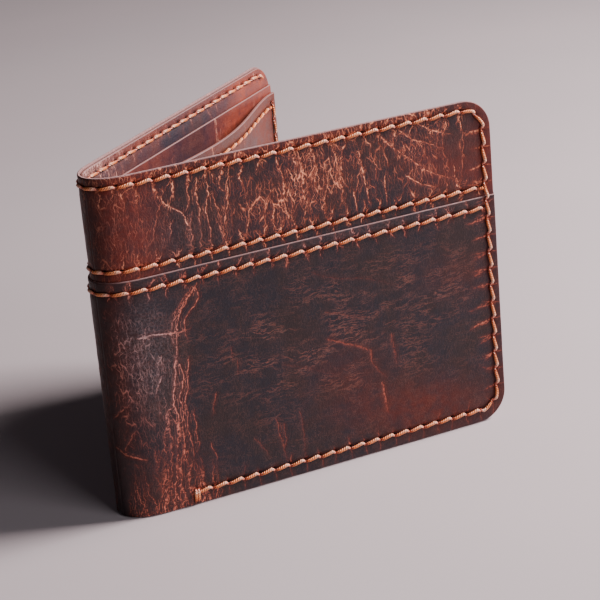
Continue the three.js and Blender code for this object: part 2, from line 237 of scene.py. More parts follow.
CORNER_ROW = CORNER - SIDE_ROW
corner_a = REACH - SIDE_ROW - CORNER_ROW
corner_top, corner_low = HEIGHT - TOP_ROW - CORNER_ROW, BOTTOM_ROW + CORNER_ROW
EDGE_LINE = np.array([(0, HEIGHT - TOP_ROW)]
                     + quarter(corner_a, corner_top, CORNER_ROW, math.pi / 2)
                     + quarter(corner_a, corner_low, CORNER_ROW, 0))
FOOT_LINE = np.array([(TACK_S, BOTTOM_ROW), (corner_a, BOTTOM_ROW)])
SEAM_END = REACH - SIDE_ROW - 0.7
SEAM_LINES = {z: np.array([(0, z), (SEAM_END, z)]) for z in (UPPER_SEAM_ROW, LOWER_SEAM_ROW)}
# first hole past the middle of the spine on the front half; the rows run on round the spine
FIRST_HOLE = {"edge": 3.8, UPPER_SEAM_ROW: 2.8, LOWER_SEAM_ROW: 4.0}


def hole_places(path, pitch, first, side):
    """Holes at a steady pitch along a row that runs on round the spine from the other cover. The
    thread pulls each hole open on its far side, away from the hook of the stitch."""
    start = first if side < 0 else pitch - first % pitch
    spot, way = along(path, np.arange(start, path_length(path) + 0.01, pitch))
    return spot + np.stack([-way[:, 1], way[:, 0]], 1) * 0.14 - side * way * 0.2


FOOT_PITCH = path_length(FOOT_LINE) / round(path_length(FOOT_LINE) / 4.45)


def outside_holes(side):
    foot = along(FOOT_LINE, np.arange(0, path_length(FOOT_LINE) + 0.01, FOOT_PITCH))[0]
    edge = hole_places(EDGE_LINE, PITCH, FIRST_HOLE["edge"], side)
    holes = {z: hole_places(line, PITCH, FIRST_HOLE[z], side) for z, line in SEAM_LINES.items()}
    return {"edge": np.concatenate([edge, foot + (0.2, 0.14)]), **holes}


def line_distance(a, z, path):
    best = np.full(len(a), 1e9)
    for p, q in zip(path[:-1], path[1:]):
        d = np.array(q, float) - p
        t = np.clip(((a - p[0]) * d[0] + (z - p[1]) * d[1]) / max(d @ d, 1e-9), 0, 1)
        best = np.minimum(best, np.hypot(a - p[0] - d[0] * t, z - p[1] - d[1] * t))
    return best


def stitch_relief(a, z, holes, rows):
    """How far the thread has pulled the leather in, in millimetres, and how much painted shade
    fills each hole: a groove along each row and a dimple with a 0.9 mm hole, painted dark as its
    shade, at each stitch's end."""
    pull, pit = np.zeros(len(a)), np.zeros(len(a))
    for path in rows:
        d = line_distance(a, z, np.array(path))
        pull = np.maximum(pull, 0.15 * np.exp(-(d / 0.8) ** 2) + 0.06 * np.exp(-(d / 2.0) ** 2))
    for hole in holes:
        near = (np.abs(a - hole[0]) < 3) & (np.abs(z - hole[1]) < 3)
        r = np.hypot(a[near] - hole[0], z[near] - hole[1])
        pull[near] += 0.14 * np.exp(-(r / 1.1) ** 2) + 0.30 * np.exp(-(r / 0.45) ** 4)
        # painted shade inside each stitch hole
        pit[near] = np.maximum(pit[near], np.exp(-(r / 0.46) ** 4))
    return pull, pit


CREASE_REACH = 1.1                               # how far from a crease it is felt


def crease_field(a, z, lines):
    """The signed distance to the nearest crease and that crease's strength, from (width, strength,
    points) each. The distance is scaled so that every crease is as wide as one of 0.25."""
    offset, strength, nearest = np.full(len(a), 1.0), np.zeros(len(a)), np.full(len(a), 1e9)
    for width, power, path in lines:
        path = np.array(path, float)
        lo, hi = path.min(0) - CREASE_REACH, path.max(0) + CREASE_REACH
        near = np.nonzero((a > lo[0]) & (a < hi[0]) & (z > lo[1]) & (z < hi[1]))[0]
        if not len(near):
            continue
        x, y = a[near], z[near]
        best, signed, share = np.full(len(near), 1e9), np.zeros(len(near)), np.zeros(len(near))
        for n, (p, q) in enumerate(zip(path[:-1], path[1:])):
            d = q - p
            t = np.clip(((x - p[0]) * d[0] + (y - p[1]) * d[1]) / max(d @ d, 1e-9), 0, 1)
            gap = np.hypot(x - p[0] - d[0] * t, y - p[1] - d[1] * t)
            closer = gap < best
            side_of = np.where((x - p[0]) * d[1] - (y - p[1]) * d[0] < 0, -1.0, 1.0)
            signed = np.where(closer, gap * side_of, signed)
            share = np.where(closer, (n + t) / (len(path) - 1), share)
            best = np.where(closer, gap, best)
        take = (best < nearest[near]) & (best < CREASE_REACH)
        chosen = near[take]
        nearest[chosen] = best[take]
        offset[chosen] = np.clip(signed[take] * 0.25 / width, -1, 1)
        fade = np.clip((CREASE_REACH - best[take]) / 0.4, 0, 1)
        strength[chosen] = power * (1 - 0.6 * share[take] ** 4) * fade
    return offset, strength


def wandering(rng, width, strength, start, heading_deg, length, bend, step):
    """A crease that wanders off from a point, by bend degrees a step, but keeps its heading."""
    points, turned = [start], 0.0
    for _ in range(max(2, int(length / step))):
        turned = 0.55 * turned + rng.normal(0, 1.3 * bend)
        angle = math.radians(heading_deg + turned)
        x, z = points[-1]
        points.append((x + math.cos(angle) * step, z + math.sin(angle) * step))
    return width, strength, points


def stitch_creases(rng, holes, up_reach, down_reach):
    lines = []
    for h in holes:
        for direction, reach in ((90, up_reach), (-90, down_reach)):
            lines.append(wandering(rng, 0.30, rng.uniform(0.8, 1.1), (h[0], h[1] - 0.2),
                                   direction + rng.normal(0, 10), reach * rng.uniform(0.6, 1.0),
                                   12, 0.5))
            for _ in range(3):
                lines.append(wandering(rng, 0.18, rng.uniform(0.35, 0.8),
                                       (h[0] + rng.uniform(-0.6, 0.6), h[1]),
                                       direction + rng.normal(0, 26),
                                       reach * rng.uniform(0.3, 0.9), 16, 0.5))
    return lines


def side_creases(rng, holes, reach):
    lines = []
    for h in holes:
        if h[0] > REACH - 4 and 9 < h[1] < 80:
            for _ in range(2):
                lines.append(wandering(rng, 0.48, rng.uniform(0.45, 0.85),
                                       (h[0], h[1] + rng.uniform(-.3, .3)), 180 + rng.normal(4, 7),
                                       reach * rng.uniform(0.3, 1), 6, 0.9))
            lines.append((0.3, 0.6, [(h[0], h[1]), (REACH, h[1] + rng.uniform(-.4, .4))]))
        elif h[1] < 6 and h[0] > TACK_S:
            lines.append(wandering(rng, 0.34, rng.uniform(0.3, 0.7), (h[0], h[1]),
                                   90 + rng.normal(0, 12), rng.uniform(1, 4), 12, 0.7))
            lines.append((0.28, 0.5, [(h[0], h[1]), (h[0] + rng.uniform(-.5, .5), 0)]))
    return lines


# creases across the front's lower panel: the long ones that fall from the seam near the spine
PANEL_CREASES_FRONT = [
    (0.30, 0.95,
     [(26.3, 57.5), (24.0, 55), (21.0, 51.2), (19.9, 48.5), (19.4, 45), (18.9, 41), (18.9, 38)]),
    (0.30, 0.90, [(25.9, 56.5), (26.2, 54), (24.2, 51.5), (22.0, 49.5), (21.7, 46.8), (22.2, 44)]),
    (0.26, 0.75, [(24.6, 56.8), (22.0, 53.4), (20.2, 51), (18.8, 49.5), (18.0, 46.2), (18.5, 43)]),
    (0.24, 0.6, [(23.5, 56), (20.8, 53), (19.0, 51.2), (19.2, 48)]),
    (0.32, 1.0,
     [(18.9, 41), (18.2, 38), (17.8, 34), (17.0, 31), (16.7, 27.5), (17.6, 25), (17.2, 21),
      (16.8, 18), (16.0, 13.5), (16.6, 9), (15.8, 3), (16.2, 0)]),
    (0.30, 0.95,
     [(19.6, 38), (20.1, 35), (19.4, 32), (18.5, 29.5), (19.0, 26), (18.5, 22), (18.7, 18),
      (18.1, 14), (19.0, 10), (18.4, 4), (18.9, 0)]),
    (0.27, 0.8,
     [(21.9, 39), (21.4, 35.5), (21.0, 32), (20.2, 29.5), (19.6, 28), (20.2, 25), (19.7, 21),
      (20.6, 16), (20.2, 11), (21.2, 7)]),
    (0.26, 0.7, [(16.8, 27.5), (15.0, 27), (15.2, 24), (14.8, 21), (15.4, 18.5), (14.6, 16)]),
    (0.24, 0.6, [(14.2, 36), (13.0, 33.5), (12.2, 31)]),
    (0.24, 0.55, [(9.0, 26.5), (10.2, 24.5), (11.2, 22.5)]),
    (0.42, 1.1, [(1.0, 18.6), (3.0, 17.2), (5.5, 16.3), (8.0, 15.4)]),
    (0.42, 1.1, [(1.5, 27.2), (3.4, 28.9), (5.6, 30.6)]),
    (0.34, 0.8, [(3.0, 18), (4.6, 21), (6.4, 23.6)]),
    (0.34, 0.9, [(10, 47.2), (13, 47.4), (17, 46.8), (20, 46.3), (23, 46.6)]),
    (0.30, 0.55, [(28.0, 28), (27.2, 25), (26.6, 22.6)]), (0.26, 0.4, [(33.6, 39), (33.4, 36)]),
    (0.26, 0.45, [(34.9, 35), (34.4, 31.5)]),
    (0.55, 0.5,
     [(60, 34.5), (65, 32), (69, 30.2), (71.5, 28.5), (72, 25.2), (73.4, 22.6), (75.5, 20.4)]),
    (0.35, 0.28, [(57.5, 52.8), (61, 51), (65, 49.6), (70, 48.7), (75, 46.8), (81, 44)]),
    (0.35, 0.28, [(60, 41.8), (64, 40.4), (67, 38.9), (71, 37.6)]),
    (0.35, 0.22, [(47, 31), (53, 28.6), (59, 25.6), (65, 22.8)]),
    (0.36, 0.45, [(43.8, 16.8), (44.2, 13), (44.9, 9), (45.6, 5)]),
    (0.34, 0.45, [(45.6, 15), (45.9, 11), (45.0, 8), (45.6, 4.6)]),
    (0.34, 0.35, [(37.6, 13), (39.4, 10), (41.0, 7.4)]),
    (0.36, 0.35, [(50.4, 17), (50.8, 12), (51.2, 5)]),
    (0.6, 0.45, [(77.8, 31), (78.4, 27), (78.8, 23)]),
    (0.7, 0.6, [(74.4, 18.4), (75, 14), (75.2, 10.5)]),
]


def panel_creases(front):
    rng = np.random.default_rng(11 if front else 37)
    lines = list(PANEL_CREASES_FRONT) if front else []
    if not front:
        for x in (16, 18.4, 20.6, 24, 52, 77):
            lines.append(wandering(rng, 0.32, rng.uniform(0.5, 0.9), (x, rng.uniform(50, 58)), -92,
                                   rng.uniform(18, 42), 9, 1.6))
        for _ in range(7):
            lines.append(wandering(rng, 0.45, rng.uniform(0.3, 0.55),
                                   (rng.uniform(35, 80), rng.uniform(16, 50)), -14,
                                   rng.uniform(8, 22), 7, 2.0))
    # the fan of fine creases at the foot of the fold
    x = 2.2
    while x < 27:
        reach = 8 + 9 * math.exp(-((x - 15) / 6.5) ** 2) + rng.uniform(-3, 3)
        lines.append(wandering(rng, rng.uniform(0.22, 0.32), rng.uniform(0.55, 0.95), (x, 0),
                               90 + rng.normal(0, 2), reach, 12, 0.9))
        x += rng.uniform(0.75, 1.3)
    for _ in range(16):
        lines.append(wandering(rng, 0.24, rng.uniform(0.4, 0.75),
                               (rng.uniform(9, 26), rng.uniform(14, 26)), -92, rng.uniform(5, 12),
                               11, 0.9))
    for _ in range(22):
        lines.append(wandering(rng, 0.22, rng.uniform(0.3, 0.6),
                               (rng.uniform(3, 16), rng.uniform(24, 52)), -95, rng.uniform(3, 9),
                               14, 0.8))
    holes = outside_holes(-1 if front else 1)
    lines += stitch_creases(rng, holes[LOWER_SEAM_ROW], up_reach=4.4, down_reach=3.2)
    lines += side_creases(rng, holes["edge"], reach=8)
    return lines


def patches(a, z, *spots):
    """Adds up soft oval patches, each its amount, its middle, its two reaches and its tilt."""
    total = 0
    for amount, x, y, wide, tall, tilt in spots:
        t = math.radians(tilt)
        u = ((a - x) * math.cos(t) + (z - y) * math.sin(t)) / wide
        v = ((z - y) * math.cos(t) - (a - x) * math.sin(t)) / tall
        total = total + amount * np.exp(-(u * u + v * v))
    return total


def ragged(a, z, seed, sway):
    """Distances along the leather, shaken so that a crease drawn with them has ragged sides."""
    fine = 0.16 * value_noise(a / 0.45, z / 0.45, seed + 5)
    return a + sway * value_noise(a / 0.9, z / 0.9, seed + 4) + fine


def panel_looks(a, z, front):
    """Wear and tints of the lower panel: creases, red burnish, grey scuff, crackle and streaks."""
    seed = 5 if front else 60
    offset, strength = crease_field(ragged(a, z, seed, 0.28), z, panel_creases(front))
    scuff = patches(a, z, (1.1, 12, 41, 6.5, 15, 0), (0.5, 10, 49, 6, 6, 0),
                    (0.55, 72, 60.5, 36, 2.2, 0))
    red = patches(a, z, (0.95, 2.5, 42, 4.8, 26, 0), (1.1, 86, 9, 21, 7.5, -12),
                  (0.25, 14, 8, 10, 8, 0), (0.45, 66, 24, 11, 8, -20), (0.35, 99, 43, 11, 6, -12))
    red = red + 0.45 * np.exp(-((REACH - 1.5 - a) / 2.5) ** 2)
    crackle = 0.10 + patches(a, z, (0.8, 3.5, 38, 5.5, 24, 0), (0.45, 14, 33, 8, 20, 0),
                             (0.2, 14, 8, 12, 10, 0))
    streaks = 0.15 + patches(a, z, (1.0, 56, 34, 32, 17, -10), (0.9, 94, 43, 22, 8, -10))
    return offset, strength, np.clip(np.stack([red, scuff, crackle, streaks], 1), 0, 1)


def edge_rounding(d, radius):
    t = np.clip(radius - d, 0, radius)
    return radius - np.sqrt(radius * radius - t * t)


def even(start, stop, step):
    return list(np.linspace(start, stop, max(2, int(round((stop - start) / step)) + 1)))


def cut_lines(start, stop, step, start_cut=True, stop_cut=True):
    """Grid lines over a piece, closer together by a cut edge, where the edge is rounded."""
    nip = [0, 0.07, 0.18, 0.34, 0.6]
    lo = [start + n for n in nip] if start_cut else [start]
    hi = [stop - n for n in reversed(nip)] if stop_cut else [stop]
    return np.array(lo[:-1] + even(lo[-1], hi[0], step) + hi[1:])


def leather_piece(name, side, columns, rows, spread, outer, inner, looks, edge_of, materials,
                  shown="outer"):
    """A piece of leather from a flat grid, given two faces and folded to its place.
    columns are distances from the spine, rows are heights that spread() fits to the outline, outer
    and inner give the depth of its faces and how dark each spot is, looks gives wear and tints,
    edge_of the distance in from the cut edge, and shown says which face is finished."""
    nx, nz = len(columns) - 1, len(rows) - 1
    cut = bmesh.new()
    bmesh.ops.create_grid(cut, x_segments=nx, y_segments=nz, size=1.0)
    back = bmesh.ops.extrude_face_region(cut, geom=cut.faces[:])
    moved = [v for v in back["geom"] if isinstance(v, bmesh.types.BMVert)]
    bmesh.ops.translate(cut, verts=moved, vec=(0, 0, -1))
    mesh = bpy.data.meshes.new(name)
    cut.to_mesh(mesh)
    cut.free()
    flat = np.empty(len(mesh.vertices) * 3)
    mesh.vertices.foreach_get("co", flat)
    flat = flat.reshape(-1, 3)
    i, j = np.rint((flat[:, :2] + 1) / 2 * (nx, nz)).astype(int).T
    deep = flat[:, 2] < -0.5
    a = np.asarray(columns)[i]
    z = spread(a, np.asarray(rows)[j])
    plain = deep if shown == "outer" else ~deep
    (out_depth, out_pit), (in_depth, in_pit) = outer(a, z), inner(a, z)
    offset, strength, tints = looks(a, z)
    strength = np.where(plain, 0, strength)
    # creases are sunk by up to 0.1 mm, but not where the two halves of a piece meet
    groove = 0.10 * strength * np.exp(-(offset / 0.36) ** 2) * np.clip(a / 1.5, 0, 1)
    depth = np.where(deep, in_depth, out_depth) + (groove if shown == "outer" else -groove)
    s = side * np.maximum(a, 1e-6)
    mesh.vertices.foreach_set("co", folded(s, depth, z).ravel())
    readings = {"crease_offset": offset, "crease": strength,
                "cut_edge": np.where(plain, 0, edge_of(a, z)),
                "pit": np.where(plain, 0, np.where(deep, in_pit, out_pit))}
    for label, values in readings.items():
        layer = mesh.attributes.new(label, "FLOAT", "POINT")
        layer.data.foreach_set("value", np.asarray(values, np.float32))
    layer = mesh.attributes.new("pattern", "FLOAT_VECTOR", "POINT")
    layer.data.foreach_set("vector", np.stack([s, z, depth], 1).astype(np.float32).ravel())
    layer = mesh.attributes.new("tints", "FLOAT_COLOR", "POINT")
    layer.data.foreach_set("color", np.asarray(tints, np.float32).ravel())
    for m in materials:
        mesh.materials.append(m)
    # rim faces, which join the two sides, take the cut-edge finish
    starts, corners = np.empty(len(mesh.polygons), int), np.empty(len(mesh.loops), int)
    mesh.polygons.foreach_get("loop_start", starts)
    mesh.loops.foreach_get("vertex_index", corners)
    on_back = np.add.reduceat(deep[corners].astype(int), starts)
    mesh.polygons.foreach_set("material_index", ((on_back > 0) & (on_back < 4)).astype(np.int32))
    # the wall where a piece meets its other half at the spine is left flat, so it cannot be seen
    mesh.polygons.foreach_set("use_smooth", np.maximum.reduceat(a[corners], starts) > 1e-3)
    piece = bpy.data.objects.new(name, mesh)
    bpy.context.scene.collection.objects.link(piece)
    turned = bmesh.new()
    turned.from_mesh(mesh)
    bmesh.ops.recalc_face_normals(turned, faces=turned.faces[:])
    turned.to_mesh(mesh)
    turned.free()
    return piece


# Waxed pull-up leather: a dark oiled grain that pales to orange where it is bent or rubbed. The
# creases are lighter and drier, and a fine pebble grain breaks up its waxy gloss.
def pull_up_leather(name, dark="#171521", warm="#23171a", red="#50160d", line="#8f3f30",
                    line_bright="#d97e66", scuff="#7a6c72", gloss=0.44):
    material, add, shader = new_material(name)
    smooth, mixed = dict(interpolation_type="SMOOTHSTEP"), dict(data_type="RGBA", out=2)
    times, most = dict(operation="MULTIPLY"), dict(operation="MAXIMUM")
    less, size = dict(operation="SUBTRACT"), dict(operation="ABSOLUTE")
    spot = add("Attribute", out="Vector", attribute_name="pattern")
    tints = add("Attribute", attribute_name="tints")
    reds, scuffs, crackles = add("SeparateColor", [tints]).node.outputs
    streaks = tints.node.outputs["Alpha"]

    # oil lies unevenly in the hide: blotches about 12 mm across over a 3 mm mottle
    blotch = add("TexNoise", {"Vector": spot, "Scale": 0.085, "Detail": 3.0})
    mottle = add("TexNoise", {"Vector": spot, "Scale": 0.34, "Detail": 4.0, "Roughness": 0.6})
    share = add("MapRange", [blotch, 0.40, 0.66], **smooth)
    colour = add("Mix", {0: share, 6: linear(dark), 7: linear(warm)}, **mixed)
    share = add("MapRange", [mottle, 0.35, 0.75, 0.0, 0.3], **smooth)
    colour = add("Mix", {0: share, 6: colour, 7: linear("#2b1b1c")}, **mixed)
    share = add("MapRange", [mottle, 0.25, 0.65, 0.45, 1.0], **smooth)
    share = add("Math", [reds, share], **times)
    colour = add("Mix", {0: share, 6: colour, 7: linear(red)}, **mixed)

    # places pushed about at random, so that nothing drawn with them runs straight
    pushed = [spot]
    for start, scale, reach in ((0, 0.35, (2.6, 1.0, 0)), (1, 1.3, (0.8, 0.5, 0)),
                                (0, 0.16, (3.0, 4.0, 0))):
        push = {"Vector": pushed[start], "Scale": scale, "Detail": 3.0}
        push = add("TexNoise", push, out="Color")
        push = add("VectorMath", [push, (0.5, 0.5, 0.5)], **less)
        pushed.append(add("VectorMath", [push, reach, pushed[start]], operation="MULTIPLY_ADD"))
    loose, sweep = pushed[2:]

    # hair-fine crackle: upright cells about 1 by 6 mm, with finer ones 0.6 by 1.4 mm in them
    crackle = 0.0
    for scale, width, depth in (((0.95, 0.15, 0), 0.10, 1.0), ((1.7, 0.70, 0), 0.16, 0.55)):
        cell = add("Mapping", {"Vector": loose, "Scale": scale})
        cell = add("TexVoronoi", {"Vector": cell, "Scale": 1.0}, feature="DISTANCE_TO_EDGE",
                   voronoi_dimensions="2D")
        cell = add("MapRange", [cell, width, 0.0, 0.0, depth], **smooth)
        crackle = add("Math", [crackle, cell], **most)
    share = add("TexNoise", {"Vector": spot, "Scale": 0.3, "Detail": 4.0, "Roughness": 0.6})
    share = add("MapRange", [share, 0.30, 0.6, 0.12, 1.0], **smooth)
    share = add("Math", [share, crackles], **times)
    crackle = add("Math", [crackle, share], **times)

    # faint dry fibres all over, 2 to 3 mm long
    fibre = add("Mapping", {"Vector": loose, "Scale": (0.9, 0.42, 0)})
    fibre = add("TexNoise", {"Vector": fibre, "Scale": 1.0, "Detail": 4.0, "Roughness": 0.7})
    fibre = add("Math", [fibre, 0.5], **less)
    fibre = add("Math", [fibre], **size)
    fibre = add("MapRange", [fibre, 0.03, 0.0], **smooth)
    share = add("TexNoise", {"Vector": spot, "Scale": 0.25, "Detail": 3.0})
    share = add("MapRange", [share, 0.35, 0.6, 0.15 * 0.42, 0.8 * 0.42], **smooth)
    fibre = add("Math", [fibre, share], **times)

    # long rubbed streaks, some 6 mm by 0.4 mm, falling to the open end, in a haze
    turn = (0, 0, 0.22 if "front" in name else -0.22)
    ridge = add("Mapping", {"Vector": sweep, "Scale": (0.13, 0.75, 0), "Rotation": turn})
    ridge = add("TexNoise", {"Vector": ridge, "Scale": 1.0, "Detail": 5.0, "Roughness": 0.66})
    ridge = add("Math", [ridge, 0.5], **less)
    ridge = add("Math", [ridge], **size)
    ridge = add("MapRange", [ridge, 0.035, 0.0], **smooth)
    share = add("Mapping", {"Vector": spot, "Scale": (0.1, 0.2, 0)})
    share = add("TexNoise", {"Vector": share, "Scale": 1.0, "Detail": 3.0})
    share = add("MapRange", [share, 0.42, 0.62], **smooth)
    streak = add("Math", [ridge, share], **times)
    streak = add("Math", [streak, streaks], **times)
    haze = add("Mapping", {"Vector": sweep, "Scale": (0.16, 0.8, 0), "Rotation": turn})
    haze = add("TexNoise", {"Vector": haze, "Scale": 1.0, "Detail": 5.0, "Roughness": 0.6})
    haze = add("MapRange", [haze, 0.48, 0.72, 0.0, 0.2], **smooth)
    haze = add("Math", [haze, streaks], **times)

    # the drawn creases: a core 0.3 mm wide with ragged sides, in a wider rubbed halo
    strength = add("Attribute", out="Fac", attribute_name="crease")
    offset = add("Attribute", out="Fac", attribute_name="crease_offset")
    wiggle = add("TexNoise", {"Vector": spot, "Scale": 1.5, "Detail": 4.0, "Roughness": 0.6})
    wiggle = add("Math", [wiggle, 0.36, -0.18], operation="MULTIPLY_ADD")
    offset = add("Math", [offset, wiggle], operation="ADD")
    offset = add("Math", [offset], **size)
    core = add("MapRange", [offset, 0.23, 0.03], **smooth)
    core = add("Math", [core, strength], **times)
    coarse = add("TexNoise", {"Vector": spot, "Scale": 1.3, "Detail": 3.0, "Roughness": 0.6})
    coarse = add("MapRange", [coarse, 0.34, 0.58, 0.35, 1.1], **smooth)
    core = add("Math", [core, coarse], **times)
    halo = add("MapRange", [offset, 0.85, 0.1, 0.0, 0.28], **smooth)
    halo = add("Math", [halo, strength], **times)
    worn = add("Math", [core, crackle], **most)

    share = add("Math", [streak, 0.55], **times)
    for amount, tone in ((haze, "#5f3a36"), (share, "#965546"), (fibre, "#704840"),
                         (halo, "#7c3426")):
        colour = add("Mix", {0: amount, 6: colour, 7: linear(tone)}, **mixed)
    share = add("TexNoise", {"Vector": spot, "Scale": 1.5, "Detail": 4.0, "Roughness": 0.7})
    share = add("MapRange", [share, 0.42, 0.66, 0.0, 0.3], **smooth)
    share = add("Math", [scuffs, share], **times)
    colour = add("Mix", {0: share, 6: colour, 7: linear(scuff)}, **mixed)
    share = add("Math", [mottle, 0.5, worn], operation="MULTIPLY_ADD")
    share = add("MapRange", [share, 0.55, 1.35], **smooth)
    tone = add("Mix", {0: share, 6: linear(line), 7: linear(line_bright)}, **mixed)
    share = add("Math", [scuffs, 0.7], **times)
    tone = add("Mix", {0: share, 6: tone, 7: linear("#c9abaa")}, **mixed)
    share = add("MapRange", [worn, 0.06, 0.85, 0.0, 0.95], **smooth)
    colour = add("Mix", {0: share, 6: colour, 7: tone}, **mixed)
    # painted shade darkens the stitch holes and the fold along the spine, and wax rubs off the very
    # edge
    # painted shade in the stitch holes, almost black
    pit = add("Attribute", out="Fac", attribute_name="pit")
    edge = add("Attribute", out="Fac", attribute_name="cut_edge")
    # distance from the middle of the spine: painted shade darkens the leather within 7.5 mm of it
    across = add("SeparateXYZ", [spot])
    across = add("Math", [across], **size)
    for reading, low, high, full, tone in ((pit, 0.1, 0.8, 0.96, "#080404"),
                                           (edge, 0.30, 0.03, 0.75, "#9c7c7c"),
                                           (across, 7.5, 1.0, 0.72, "#190604")):
        share = add("MapRange", [reading, low, high, 0.0, full], **smooth)
        colour = add("Mix", {0: share, 6: colour, 7: linear(tone)}, **mixed)

    rough = add("MapRange", [mottle, 0.3, 0.7, gloss - 0.06, gloss + 0.10], **smooth)
    rough = add("Math", [worn, 0.16, rough], operation="MULTIPLY_ADD")

    # pebble grain about 0.5 mm, drawn a little coarser than the real 0.3 mm so that it shows
    height = add("TexVoronoi", {"Vector": loose, "Scale": 1.9}, feature="F1")
    height = add("Math", [height, 0.06], **times)
    pores = add("TexNoise", {"Vector": spot, "Scale": 2.6, "Detail": 5.0, "Roughness": 0.65})
    for reading, depth in ((pores, 0.09), (worn, -0.10), (streak, -0.03)):
        height = add("Math", [reading, depth, height], operation="MULTIPLY_ADD")
    bump = add("Bump", {"Height": height, "Strength": 0.8, "Distance": 0.001})
    fill(shader, {"Base Color": colour, "Roughness": rough, "Normal": bump, "IOR": 1.48,
                  "Specular IOR Level": 0.34, "Coat Weight": 0.06, "Coat Roughness": 0.3})
    return material


# Burnished cut edge: the pale flesh fibres, rubbed smooth and waxed.
def cut_edge_finish(name, pale="#cdb4b8", ruddy="#a5746c"):
    material, add, shader = new_material(name)
    spot = add("Attribute", out="Vector", attribute_name="pattern")
    fibres = add("Mapping", {"Vector": spot, "Scale": (1.1, 1.1, 6.0)})
    fibres = add("TexNoise", {"Vector": fibres, "Scale": 1.0, "Detail": 4.0, "Roughness": 0.65})
    share = add("MapRange", [fibres, 0.35, 0.65])
    tone = add("Mix", {0: share, 6: linear(ruddy), 7: linear(pale)}, out=2, data_type="RGBA")
    bump = add("Bump", {"Height": fibres, "Strength": 0.4, "Distance": 0.0002})
    fill(shader, {"Base Color": tone, "Roughness": 0.5, "Normal": bump})
    return material


panel_leather = pull_up_leather("waxed pull-up cowhide front panel")
panel_leather_back = pull_up_leather("waxed pull-up cowhide back panel")
raw_edge = cut_edge_finish("burnished cut edge")


def to_outline(low, high, round_low=0.0, round_high=0.0, inset=0.0):
    """Fits evenly laid rows to an outline with round corners, of given radius, at the open end."""
    def spread(a, z):
        foot = low + (drop_at_corner(REACH - inset - a, round_low) if round_low else 0)
        head = high - (drop_at_corner(REACH - inset - a, round_high) if round_high else 0)
        return foot + (head - foot) * (z - low) / (high - low)
    return spread


def fold_with_cover(piece, side, slot, *nodes):
    """Bakes a piece's place into its mesh and hides the parts of model.glb that it stands for."""
    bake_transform(piece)
    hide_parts(*nodes)


SIDES = ((-1, "front"), (1, "back"))


def with_fine_rows(rows, centres):
    """Adds closer grid lines along the stitch rows, in place of the even ones there."""
    kept = [r for r in rows if all(abs(r - c) > 1.4 for c in centres)]
    fine = [c + d for c in centres for d in np.arange(-1.3, 1.31, 0.26)]
    return np.array(sorted(kept + fine))


for side, half in SIDES:
    holes = outside_holes(side)
    edge_holes = holes["edge"][holes["edge"][:, 1] < SEAM_Z]
    near_holes = np.concatenate([edge_holes, holes[LOWER_SEAM_ROW]])
    near_rows = [SEAM_LINES[LOWER_SEAM_ROW], EDGE_LINE, FOOT_LINE]
    panel_edge = lambda a, z: np.minimum(SEAM_Z - z, from_cut_edge(a, z))

    def panel_outer(a, z):
        pull, pit = stitch_relief(a, z, near_holes, near_rows)
        swell = 0.05 * value_noise(a / 6, z / 9, 91 + side)
        swell += 0.03 * value_noise(a / 2.2, z / 2.2, 95 + side)
        swell *= np.clip((SEAM_Z - z) / 3, 0, 1) * np.clip(a / 3, 0, 1)
        rounding = edge_rounding(panel_edge(a, z), 0.35) * np.where(SEAM_Z - z < 0.35, 0.7, 1)
        return rounding + pull + swell, pit

    def panel_inner(a, z):
        thin = np.interp(z, [BAND_FOOT - 2.3, BAND_FOOT - 0.1], [PANEL_THICK, LAP_THICK])
        thin = thin - 0.7 * edge_rounding(np.minimum(REACH - a, z), 0.3)
        return np.maximum(thin, panel_outer(a, z)[0] + 0.1), 0 * a

    piece = leather_piece(f"{half}_lower_panel_leather", side,
                          cut_lines(0, REACH, step=0.42, start_cut=False),
                          with_fine_rows(cut_lines(0, SEAM_Z, step=0.45),
                                         (BOTTOM_ROW, LOWER_SEAM_ROW)),
                          to_outline(0, SEAM_Z, CORNER), panel_outer, panel_inner,
                          lambda a, z: panel_looks(a, z, side < 0), panel_edge,
                          [panel_leather if side < 0 else panel_leather_back, raw_edge])
    fold_with_cover(piece, side, "outer_leather", f"{half}_lower_panel", "spine_lower_panel")


# ---- Outer leather: the upper bands --------------------------------------------------------
# The strip along the top of the outside, 0.8 mm cowhide that is tucked under the lower panel and
# sewn to it with two rows. It is burnished red round the spine and crazed with fine pale cracks.
BAND_CRACKS_FRONT = [
    [(18.2, 85), (18.6, 81.5), (20.6, 79), (24.8, 76), (25.6, 73), (26.5, 70), (26.1, 66.5)],
    [(27, 85), (26.2, 81), (26.6, 78), (25, 75.4)],
    [(29.2, 83), (28.4, 79), (29.2, 75.5), (28.5, 71.5)],
    [(31.5, 85), (31.9, 80), (30.8, 75), (31.6, 70), (31, 66.5)],
    [(38, 85), (37.2, 80.5), (36.5, 76), (35.6, 72), (34.5, 68)],
    [(41, 85), (40.4, 81), (41.4, 78)], [(42.3, 73), (41.6, 70), (40.5, 66.4)],
    [(49, 73), (48.2, 69.5), (48.6, 66)],
    [(52, 78), (51.4, 73), (52.3, 69), (51.8, 66)],
    [(56, 85), (57.2, 80.5), (56.6, 76), (57.2, 71), (56.4, 66)],
    [(60.5, 84), (61, 79), (60.2, 74)], [(63, 73), (62.2, 69), (62.6, 66)],
    [(65, 85), (66.6, 80.5), (66.3, 76)],
    [(68, 81), (67.4, 75), (68.4, 68)], [(70.5, 71), (71, 66)], [(73, 81), (74, 74), (75, 67)],
    [(80, 73), (79.4, 66.4)],
    [(78, 85), (81, 81.5), (85, 78), (88.5, 75.4), (92, 72), (97, 69.5), (103, 66.6)],
    [(84, 84.6), (88, 81), (92, 79.6), (97, 77)], [(86, 72), (90, 69), (94, 67.4)],
    [(90, 84.6), (94, 82), (99, 80.6)],
]


